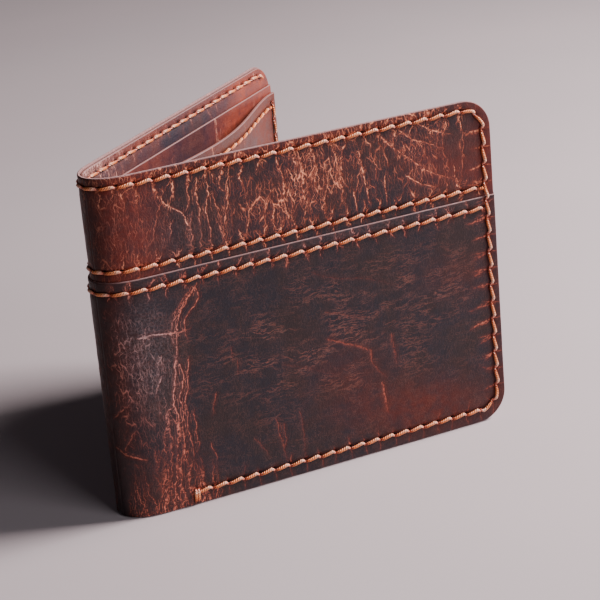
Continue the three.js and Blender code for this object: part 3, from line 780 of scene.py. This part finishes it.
def band_creases(front, holes):
    rng = np.random.default_rng(21 if front else 52)
    lines = []
    for path in (BAND_CRACKS_FRONT if front else []):
        jittered = [(x + rng.normal(0, 0.15), z + rng.normal(0, 0.15)) for x, z in path]
        lines.append((0.26, rng.uniform(0.7, 1.0), jittered))
    x = 19.0
    while x < 104:
        lines.append(wandering(rng, 0.22, rng.uniform(0.3, 0.75), (x, rng.uniform(70, 85)),
                               -90 + rng.normal(0, 9), rng.uniform(3, 14), 13, 0.8))
        x += rng.uniform(0.9, 2.4)
    x = 0.4
    while x < 19:
        lines.append(wandering(rng, 0.22, rng.uniform(0.2, 0.6), (x, rng.uniform(66, 87)),
                               -90 + rng.normal(0, 6), rng.uniform(4, 18), 10, 0.8))
        x += rng.uniform(0.6, 1.2)
    top_holes = holes["edge"][holes["edge"][:, 1] > HEIGHT - 3]
    lines += stitch_creases(rng, holes[UPPER_SEAM_ROW], up_reach=5.0, down_reach=3.0)
    lines += stitch_creases(rng, top_holes, up_reach=3.2, down_reach=6.0)
    lines += side_creases(rng, holes["edge"], reach=7)
    return lines


def band_looks(a, z, front, holes):
    seed = 130 if front else 170
    offset, strength = crease_field(ragged(a, z, seed, 0.30), z, band_creases(front, holes))
    # a patch of thick orange crackle across the middle and right: the leather's own crackle, and in
    # part a painted pool of light where the lamp at the right falls
    orange = np.clip(patches(a, z, (1.1, 61, 77, 10, 7, 0), (0.7, 45, 73, 14, 7, 0),
                             (0.6, 88, 76, 14, 7, -25)), 0, 1)
    round_spine = 1 / (1 + np.exp((a - 17) / 2.2))
    over_row = 1 / (1 + np.exp((HEIGHT - 2.6 - z) / 0.5))
    red = 0.95 * round_spine + 0.3 * orange + patches(a, z, (0.5, 98, 72, 10, 7, -25))
    red = np.clip(red + 0.7 * np.exp(-((REACH - 1 - a) / 5) ** 2), 0, 1)
    red = red + 0.45 * over_row * (0.4 + patches(a, z, (1, 58, 86, 30, 9, 0)))
    scuff = patches(a, z, (0.35, 24, 70, 9, 8, 0), (0.2, 6, 76, 5, 8, 0))
    crackle = np.clip(0.26 + 0.85 * orange + 0.35 * round_spine + 0.6 * over_row, 0, 1)
    crackle = crackle * np.where(a > 98, 0.6, 1)
    return offset, strength, np.clip(np.stack([red, scuff, crackle, 0.1 * orange], 1), 0, 1)


band_leather, band_leather_back = [
    pull_up_leather(f"waxed pull-up cowhide {half} band", red="#6a2015", line="#b8573c",
                    line_bright="#ffab84") for half in ("front", "back")]
for side, half in SIDES:
    holes = outside_holes(side)
    edge_holes = holes["edge"][holes["edge"][:, 1] > SEAM_Z - 2]
    near_holes = np.concatenate([edge_holes, holes[UPPER_SEAM_ROW]])

    def band_outer(a, z):
        pull, pit = stitch_relief(a, z, near_holes, [SEAM_LINES[UPPER_SEAM_ROW], EDGE_LINE])
        swell = 0.05 * value_noise(a / 5, z / 7, 191 + side)
        swell += 0.03 * value_noise(a / 2.0, z / 2.4, 195 + side)
        rounding = 0.9 * edge_rounding(from_cut_edge(a, z), 0.3)
        shape = pull + swell * np.clip(a / 3, 0, 1) + rounding
        return BAND_DEPTH + np.where(z < SEAM_Z + 0.3, 0, shape), pit

    def band_inner(a, z):
        thick = PANEL_THICK - 0.6 * edge_rounding(from_cut_edge(a, z), 0.3)
        return np.maximum(thick, band_outer(a, z)[0] + 0.1), 0 * a

    piece = leather_piece(f"{half}_upper_band_leather", side,
                          cut_lines(0, REACH, step=0.42, start_cut=False),
                          with_fine_rows(cut_lines(BAND_FOOT, HEIGHT, step=0.42),
                                         (UPPER_SEAM_ROW, HEIGHT - TOP_ROW)),
                          to_outline(BAND_FOOT, HEIGHT, round_high=CORNER), band_outer, band_inner,
                          lambda a, z: band_looks(a, z, side < 0, holes), from_cut_edge,
                          [band_leather if side < 0 else band_leather_back, raw_edge])
    fold_with_cover(piece, side, "band_leather", f"{half}_upper_band", "spine_upper_band")


# ---- Linings -------------------------------------------------------------------------------
# The inside face of each cover, 0.7 mm waxed leather glued to the outer leather and sewn in with
# it. It crinkles where the fold squeezes it, and the inside row of the top stitching lies on it.
LINING_TOP, LINING_DEPTH, LINING_FACE, LINING_INSET = HEIGHT - 0.4, 1.4, 2.1, 0.4
inside_leather = pull_up_leather("waxed pull-up cowhide lining", dark="#25222f", warm="#35242a",
                                 red="#8a3d2c", line="#a3614f", line_bright="#efb7a2", gloss=0.40)
inside_edge = cut_edge_finish("burnished lining edge", pale="#a98079", ruddy="#7d4238")


def inside_looks(seed, orange=0.3):
    def looks(a, z):
        rng, lines = np.random.default_rng(seed), []
        for _ in range(34):
            lines.append(wandering(rng, 0.3, rng.uniform(0.3, 0.8),
                                   (rng.uniform(0, REACH), rng.uniform(20, 86)),
                                   -90 + rng.normal(0, 10), rng.uniform(4, 16), 10, 1.2))
        # pale creases down from the top edge by the fold: worn lines, which also stand in for a
        # painted highlight on the fold's crinkles
        for k, x in enumerate(np.arange(0.8, 28, 1.2)):
            lines.append(wandering(rng, 0.4, rng.uniform(0.7, 1.2) * (1 - x / 45), (x, 87.5),
                                   -90 + rng.normal(0, 7),
                                   rng.uniform(2, 9) if k % 3 else rng.uniform(12, 50), 9, 1.2))
        for x in np.arange(22, 104, PITCH):
            lines.append(wandering(rng, 0.5, rng.uniform(0.2, 0.6), (x + rng.normal(0, 0.6), 86.5),
                                   -90 + rng.normal(0, 6), rng.uniform(2, 6), 9, 0.8))
        shaken = a + 0.25 * value_noise(a / 0.9, z / 0.9, seed + 4)
        offset, strength = crease_field(shaken, z, lines)
        rubbed = np.exp(-(np.maximum(HEIGHT - 0.8 - z, 0) / 2.6) ** 4)
        by_fold = np.exp(-(a / 24) ** 2)
        red = orange + 0.5 * value_noise(a / 14, z / 12, seed + 1) + 0.5 * rubbed * (1 - by_fold)
        red = red + patches(a, z, (0.9, 100, 80, 26, 16, 0))
        scuff, crackle = 0.15 + 0.7 * by_fold * (0.4 + 0.6 * rubbed), 0.2 + 0.8 * by_fold
        return offset, strength, np.clip(np.stack([red, scuff, crackle, 0.2 + 0 * a], 1), 0, 1)
    return looks


INSIDE_TOP_LINE = np.array([(0, HEIGHT - TOP_ROW)]
                           + quarter(corner_a, corner_top, CORNER_ROW, math.pi / 2)[:6])
for side, half in SIDES:
    inner_holes = hole_places(INSIDE_TOP_LINE, PITCH, FIRST_HOLE["edge"], side)
    lining_edge = lambda a, z: np.maximum(from_cut_edge(a, z) - LINING_INSET, 0)

    def lining_inner(a, z):
        pull, pit = stitch_relief(a, z, inner_holes, [INSIDE_TOP_LINE])
        # the fold squeezes the lining into upright ridges about 2 mm apart
        ridges = 1 + np.sin(a * 2 * math.pi / 2.1 + 1.4 * value_noise(a / 5, z / 6, 7))
        crinkle = 0.208 * np.exp(-(a / 9) ** 2) * ridges
        rounding = edge_rounding(lining_edge(a, z), 0.25)
        return LINING_FACE - np.minimum(pull, 0.35) + crinkle - rounding, pit

    piece = leather_piece(f"{half}_lining_leather", side,
                          cut_lines(0, REACH - LINING_INSET, step=0.5, start_cut=False),
                          with_fine_rows(cut_lines(LINING_INSET, LINING_TOP, step=0.9),
                                         (HEIGHT - TOP_ROW,)),
                          to_outline(LINING_INSET, LINING_TOP, CORNER - LINING_INSET,
                                     CORNER - LINING_INSET, LINING_INSET),
                          lambda a, z: (LINING_DEPTH + 0 * a, 0 * a), lining_inner,
                          inside_looks(300 + side, 0.12), lining_edge,
                          [inside_leather, inside_edge], shown="inner")
    fold_with_cover(piece, side, "lining_leather", f"{half}_lining", "spine_lining")


# ---- Bill compartments: facings and card panels --------------------------------------------
# Each bill compartment is a thin facing glued to the lining and a 0.9 mm card panel sewn over it
# along the side and foot only, so that its free top edge bows out and leaves a mouth for notes.
FACING_START, FACING_TOP, FACING_DEPTH, FACING_THICK = 18.2, HEIGHT - 6.6, 2.2, 0.5
CARD_START, CARD_TOP, CARD_DEPTH, CARD_THICK, CARD_INSET = 19.0, HEIGHT - 8.8, 2.8, 0.9, 0.6
BILL_BULGE, BULGE_AT_SPINE = 7.0, 0.14
SEWN_SIDE, SEWN_FOOT = REACH - SIDE_ROW - 1.3, BOTTOM_ROW + 1.3
CARD_ROW = 3.4


def bulge(a, z):
    u = np.clip((a - CARD_START) / (SEWN_SIDE - CARD_START), 0, 1)
    v = np.clip((z - SEWN_FOOT) / (CARD_TOP - SEWN_FOOT), 0, 1)
    arch = np.sin(math.pi * u)
    along_top = np.where(u < 0.5, BULGE_AT_SPINE + (1 - BULGE_AT_SPINE) * arch,
                         np.maximum(arch, 0) ** 1.4)
    return BILL_BULGE * along_top * np.sin(math.pi / 2 * v)


def ride_cover(piece, half, slot, *nodes):
    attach(piece, f"{half}_cover")
    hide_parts(*nodes)


card_leather = pull_up_leather("waxed pull-up cowhide card leather", dark="#2f262b",
                               warm="#452b25", red="#61291c", line="#a3604c",
                               line_bright="#dd9c7c", gloss=0.4)
CARD_TOP_LINE = np.array([(CARD_START + 1.2, CARD_TOP - CARD_ROW),
                          (REACH - SIDE_ROW - 1.6, CARD_TOP - CARD_ROW)])
CARD_EDGE_LINE = np.array([(REACH - SIDE_ROW, CARD_TOP - CARD_ROW + 1.4)]
                          + quarter(corner_a, corner_low, CORNER_ROW, 0)
                          + [(CARD_START + 0.6, BOTTOM_ROW)])


def steady_holes(path):
    return along(path, np.arange(0.4, path_length(path), PITCH))[0]


for side, half in SIDES:
    inset_edge = lambda a, z: np.maximum(from_cut_edge(a, z) - CARD_INSET, 0)
    facing_edge = lambda a, z: np.minimum(np.minimum(a - FACING_START, FACING_TOP - z),
                                          inset_edge(a, z))

    def facing_inner(a, z):
        rounding = 0.8 * edge_rounding(facing_edge(a, z), 0.2)
        return FACING_DEPTH + FACING_THICK - rounding, 0 * a

    piece = leather_piece(f"{half}_compartment_facing_leather", side,
                          cut_lines(FACING_START, REACH - CARD_INSET, step=1.3),
                          cut_lines(CARD_INSET, FACING_TOP, step=1.5),
                          to_outline(CARD_INSET, FACING_TOP, CORNER - CARD_INSET, inset=CARD_INSET),
                          lambda a, z: (FACING_DEPTH + 0 * a, 0 * a), facing_inner,
                          inside_looks(320 + side), facing_edge, [inside_leather, inside_edge],
                          shown="inner")
    ride_cover(piece, half, "lining_leather", f"{half}_compartment_facing")

    card_edge = lambda a, z: np.minimum(np.minimum(a - CARD_START, CARD_TOP - z), inset_edge(a, z))
    card_holes = np.concatenate([steady_holes(CARD_TOP_LINE), steady_holes(CARD_EDGE_LINE)])

    def card_inner(a, z):
        pull, pit = stitch_relief(a, z, card_holes, [CARD_TOP_LINE, CARD_EDGE_LINE])
        rounding = edge_rounding(card_edge(a, z), 0.3)
        return CARD_DEPTH + CARD_THICK + bulge(a, z) - np.minimum(pull, 0.5) - rounding, pit

    def card_outer(a, z):
        rounding = 0.6 * edge_rounding(card_edge(a, z), 0.3)
        return CARD_DEPTH + bulge(a, z) + rounding, 0 * a

    piece = leather_piece(f"{half}_card_panel_leather", side,
                          cut_lines(CARD_START, REACH - CARD_INSET, step=0.75),
                          with_fine_rows(cut_lines(CARD_INSET, CARD_TOP, step=0.9),
                                         (CARD_TOP - CARD_ROW, BOTTOM_ROW)),
                          to_outline(CARD_INSET, CARD_TOP, CORNER - CARD_INSET, inset=CARD_INSET),
                          card_outer, card_inner, inside_looks(340 + side, 0.5), card_edge,
                          [card_leather, inside_edge], shown="inner")
    ride_cover(piece, half, "card_leather", f"{half}_card_panel")


# ---- Card pockets --------------------------------------------------------------------------
# Three stepped pockets on each card panel, 0.8 mm leather with creased and burnished top edges,
# each lying on the one above it and all sewn down together round their sides and foot.
POCKET_FROM, POCKET_TO, POCKET_FOOT = CARD_START + 3.0, REACH - 6.2, 6.6
POCKET_THICK, POCKET_GAP, POCKET_CORNER, POCKET_ROW = 0.8, 0.25, 2.5, 1.8
POCKET_TOPS = [CARD_TOP - 13 - 11 * k for k in range(3)]


def pocket_outline(top):
    def spread(a, z):
        foot = POCKET_FOOT + drop_at_corner(np.minimum(a - POCKET_FROM, POCKET_TO - a),
                                            POCKET_CORNER)
        return foot + (top - foot) * (z - POCKET_FOOT) / (top - POCKET_FOOT)
    return spread


def pocket_face(a, z, layers):
    return CARD_DEPTH + CARD_THICK + bulge(a, z) + layers * (POCKET_GAP + POCKET_THICK)


ROW_FROM, ROW_TO = POCKET_FROM + POCKET_ROW, POCKET_TO - POCKET_ROW
ROW_FOOT = POCKET_FOOT + POCKET_ROW
POCKET_LINE = np.array([(ROW_FROM, POCKET_TOPS[0] - 1), (ROW_FROM, ROW_FOOT), (ROW_TO, ROW_FOOT),
                        (ROW_TO, POCKET_TOPS[0] - 1)])
for side, half in SIDES:
    for k, (place, top) in enumerate(zip(("upper", "middle", "lower"), POCKET_TOPS)):
        pocket_edge = lambda a, z: np.min([a - POCKET_FROM, POCKET_TO - a, top - z,
                                           z - POCKET_FOOT], 0)

        def pocket_inner(a, z):
            pull, pit = stitch_relief(a, z, steady_holes(POCKET_LINE), [POCKET_LINE])
            # the creased line that a heated tool leaves just below the top edge
            crease = 0.12 * np.exp(-((top - z - 1.9) / 0.35) ** 2)
            rounding = edge_rounding(pocket_edge(a, z), 0.28)
            return pocket_face(a, z, k + 1) - np.minimum(pull, 0.45) - crease - rounding, pit

        piece = leather_piece(f"{half}_card_pocket_{place}_leather", side,
                              cut_lines(POCKET_FROM, POCKET_TO, step=0.9),
                              cut_lines(POCKET_FOOT, top, step=0.9), pocket_outline(top),
                              lambda a, z: (pocket_face(a, z, k) + POCKET_GAP, 0 * a), pocket_inner,
                              inside_looks(360 + side + 7 * k, 0.45), pocket_edge,
                              [card_leather, inside_edge], shown="inner")
        ride_cover(piece, half, "card_leather", f"{half}_card_pocket_{place}")


# ---- Stitching -----------------------------------------------------------------------------
# Saddle stitching in waxed three-ply polyester thread, 0.85 mm thick. Each stitch climbs out of
# one hole, lies at a slant on the leather and hooks down into the next hole.
THREAD_RADIUS, THREAD_SIDES = 0.42, 6
# share of the pitch, reach across the row, and height of the thread's middle above the leather
STITCH = np.array([(0.0, -0.34, -0.16), (0.06, -0.34, 0.0), (0.14, -0.30, 0.14),
                   (0.30, -0.16, 0.23), (0.50, 0.04, 0.26), (0.68, 0.24, 0.28), (0.79, 0.34, 0.26),
                   (0.86, 0.22, 0.19), (0.93, -0.08, 0.10), (1.0, -0.34, -0.16)])
# the thread is squeezed where it dives into a hole: share of the pitch, share of its radius
THREAD_SQUEEZE = ([0, 0.12, 0.4, 0.78, 0.88, 0.95, 1.0], [0.7, 0.88, 1.0, 1.04, 0.86, 0.74, 0.7])


def stitch_run(bm_all, path, pitch, first, side, depth_at, out, forward=True, flip=1, sunk=0.0):
    """One continuous thread along a row of the pattern. first is the travel to its first hole,
    depth_at the face that it lies on, out which way is off that face, flip how far each stitch
    slants, and sunk how deep it is pulled in."""
    length = path_length(path)
    share = STITCH[:-1, 0]
    count = int(length / pitch) + 2
    travel = np.concatenate([first + (k + share) * pitch for k in range(-count, count)])
    lo, hi = (0, length) if forward else (-length, 0)
    travel = np.unique(np.concatenate([[lo, hi],
                                       travel[(travel > lo + 0.02) & (travel < hi - 0.02)]]))
    if not forward:
        travel = travel[::-1]
    phase = ((travel - first) / pitch) % 1.0
    spot, way = along(path, np.abs(travel))
    # the thread is drawn straight and tight round the fold
    slack = np.clip((spot[:, 0] - 4) / 12, 0, 1)
    across = np.interp(phase, STITCH[:, 0], STITCH[:, 1]) * flip * (0.35 + 0.65 * slack)
    lift = np.interp(phase, STITCH[:, 0], STITCH[:, 2]) - sunk - 0.14 * (1 - slack)
    a, z = spot[:, 0] - way[:, 1] * across, spot[:, 1] + way[:, 0] * across
    depth = depth_at(a, z)
    centre = folded(side * np.maximum(a, 1e-6), depth + out * lift, z)
    above = folded(side * np.maximum(a, 1e-6), depth + out * (lift + 0.5), z) - centre
    above /= np.linalg.norm(above, axis=1, keepdims=True)
    tangent = np.gradient(centre, axis=0)
    tangent /= np.linalg.norm(tangent, axis=1, keepdims=True)
    beside = np.cross(tangent, above)
    beside /= np.linalg.norm(beside, axis=1, keepdims=True)
    above = np.cross(beside, tangent)
    radius = THREAD_RADIUS / 1000 * np.interp(phase, *THREAD_SQUEEZE)

    tube = bmesh.new()
    last = len(travel) - 1
    place = lambda co: (round((co.x + 1) / 2 * last), round((co.y + 1) / 2 * THREAD_SIDES))
    bmesh.ops.create_grid(tube, x_segments=last, y_segments=THREAD_SIDES, size=1.0)
    lay = tube.loops.layers.uv.new("lay")
    for face in tube.faces:
        for loop in face.loops:
            i, j = place(loop.vert.co)
            loop[lay].uv = (travel[i] / pitch - first / pitch + 100, j / THREAD_SIDES)
    for v in tube.verts:
        i, j = place(v.co)
        t = 2 * math.pi * j / THREAD_SIDES
        v.co = Vector(centre[i] + radius[i] * (above[i] * math.cos(t) + beside[i] * math.sin(t)))
    bmesh.ops.remove_doubles(tube, verts=tube.verts[:], dist=1e-7)
    bmesh.ops.holes_fill(tube, edges=[e for e in tube.edges if e.is_boundary], sides=0)
    bmesh.ops.recalc_face_normals(tube, faces=tube.faces[:])
    part = bpy.data.meshes.new("run")
    tube.to_mesh(part)
    tube.free()
    bm_all.from_mesh(part)
    bpy.data.meshes.remove(part)


def thread_piece(name, runs):
    whole = bmesh.new()
    for run in runs:
        stitch_run(whole, **run)
    mesh = bpy.data.meshes.new(name)
    whole.to_mesh(mesh)
    whole.free()
    mesh.polygons.foreach_set("use_smooth", np.ones(len(mesh.polygons), bool))
    mesh.materials.append(waxed_thread)
    piece = bpy.data.objects.new(name, mesh)
    bpy.context.scene.collection.objects.link(piece)
    return piece


# waxed thread: orange polyester whose three plies wind round every 1.95 mm, with a soft waxy shine;
# its colour along each stitch has painted shade where it dives into the leather and a painted
# highlight on its raised end
waxed_thread, add, shader = new_material("waxed three-ply polyester thread")
lay = add("UVMap", uv_map="lay")
run_on, turn_on = add("SeparateXYZ", [lay]).node.outputs[:2]
wind = add("Math", [run_on, PITCH / 0.65], operation="MULTIPLY")
wind = add("Math", [turn_on, 3.0, wind], operation="MULTIPLY_ADD")
wind = add("Math", [wind, 2 * math.pi], operation="MULTIPLY")
ply = add("Math", [wind], operation="SINE")
along_stitch = add("Math", [run_on], operation="FRACT")
# painted light along each stitch: dull dark shade at both ends, where it dives into a hole, and a
# pale pink highlight on its raised hook at 0.79
shade = add("ValToRGB", [along_stitch])
ramp = shade.node.color_ramp
ramp.elements[0].position, ramp.elements[0].color = 0.0, linear("#7c3018")
ramp.elements[1].position, ramp.elements[1].color = 1.0, linear("#b4553c")
for position, colour in ((0.12, "#b44d22"), (0.30, "#f08444"), (0.60, "#fb9a62"), (0.79, "#ffc4a6"),
                         (0.87, "#ffa88c"), (0.95, "#e87a60")):
    ramp.elements.new(position).color = linear(colour)
# painted shade in the grooves between the plies
groove = add("MapRange", [ply, -1.0, -0.1, 0.62, 1.0])
fibre = add("TexCoord", out="Object")
fibre = add("TexNoise", {"Vector": fibre, "Scale": 900.0, "Detail": 3.0})
fibre = add("MapRange", [fibre, 0.3, 0.7, 0.82, 1.1])
tone = add("Math", [groove, fibre], operation="MULTIPLY")
tone = add("CombineColor", [tone, tone, tone])
tone = add("Mix", {0: 1.0, 6: shade, 7: tone}, out=2, data_type="RGBA", blend_type="MULTIPLY")
bump = add("Bump", {"Height": ply, "Strength": 0.8, "Distance": 0.00009})
fill(shader, {"Base Color": tone, "Roughness": 0.32, "Normal": bump, "Specular IOR Level": 0.65,
              "Sheen Weight": 0.06, "Sheen Roughness": 0.4})


def outside_depth(a, z):
    return BAND_DEPTH * np.clip((z - SEAM_Z + 0.1) / 1.0, 0, 1) + 0 * a


for side, half in SIDES:
    on_outside = dict(side=side, depth_at=outside_depth, out=-1)
    round_spine = dict(pitch=PITCH, forward=side < 0)
    edge_runs = [dict(on_outside, **round_spine, path=EDGE_LINE, first=FIRST_HOLE["edge"]),
                 dict(on_outside, path=FOOT_LINE, pitch=FOOT_PITCH, first=0.0)]
    # the back-tack: two turns over the bottom edge at the start of the row
    for shift in (-0.36, 0.36):
        tack = np.array([(TACK_S - 0.2 + shift, 0.75), (TACK_S + 0.1 + shift, BOTTOM_ROW + 0.7)])
        edge_runs.append(dict(on_outside, path=tack, pitch=BOTTOM_ROW, first=0.0, flip=0.1))
    piece = thread_piece(f"{half}_edge_thread", edge_runs)
    fold_with_cover(piece, side, "thread", f"{half}_edge_stitching_outside",
                    "spine_top_stitching_outside")
    for row, place in ((UPPER_SEAM_ROW, "upper"), (LOWER_SEAM_ROW, "lower")):
        run = dict(on_outside, **round_spine, path=SEAM_LINES[row], first=FIRST_HOLE[row])
        piece = thread_piece(f"{half}_seam_thread_{place}", [run])
        fold_with_cover(piece, side, "thread", f"{half}_seam_stitching_{place}",
                        f"spine_seam_stitching_{place}")
    run = dict(round_spine, path=INSIDE_TOP_LINE, side=side, out=1, first=FIRST_HOLE["edge"],
               flip=0.55,
               depth_at=lambda a, z: LINING_FACE + 0 * a)
    piece = thread_piece(f"{half}_top_thread_inside", [run])
    fold_with_cover(piece, side, "thread", f"{half}_top_stitching_inside",
                    "spine_top_stitching_inside")
    on_inside = dict(side=side, out=1, pitch=PITCH, first=0.4, flip=0.6)
    on_card = lambda a, z: CARD_DEPTH + CARD_THICK + bulge(a, z)
    for place, line in (("edge", CARD_EDGE_LINE), ("top", CARD_TOP_LINE)):
        run = dict(on_inside, path=line, depth_at=on_card)
        piece = thread_piece(f"{half}_card_{place}_thread", [run])
        ride_cover(piece, half, "thread", f"{half}_card_{place}_stitching")
    layers = lambda z: 1 + sum(np.clip(top + 1.4 - z, 0, 1) for top in POCKET_TOPS[1:])
    run = dict(on_inside, path=POCKET_LINE, sunk=0.24,
               depth_at=lambda a, z: pocket_face(a, z, layers(z)))
    piece = thread_piece(f"{half}_pocket_thread", [run])
    ride_cover(piece, half, "thread", f"{half}_pocket_stitching")
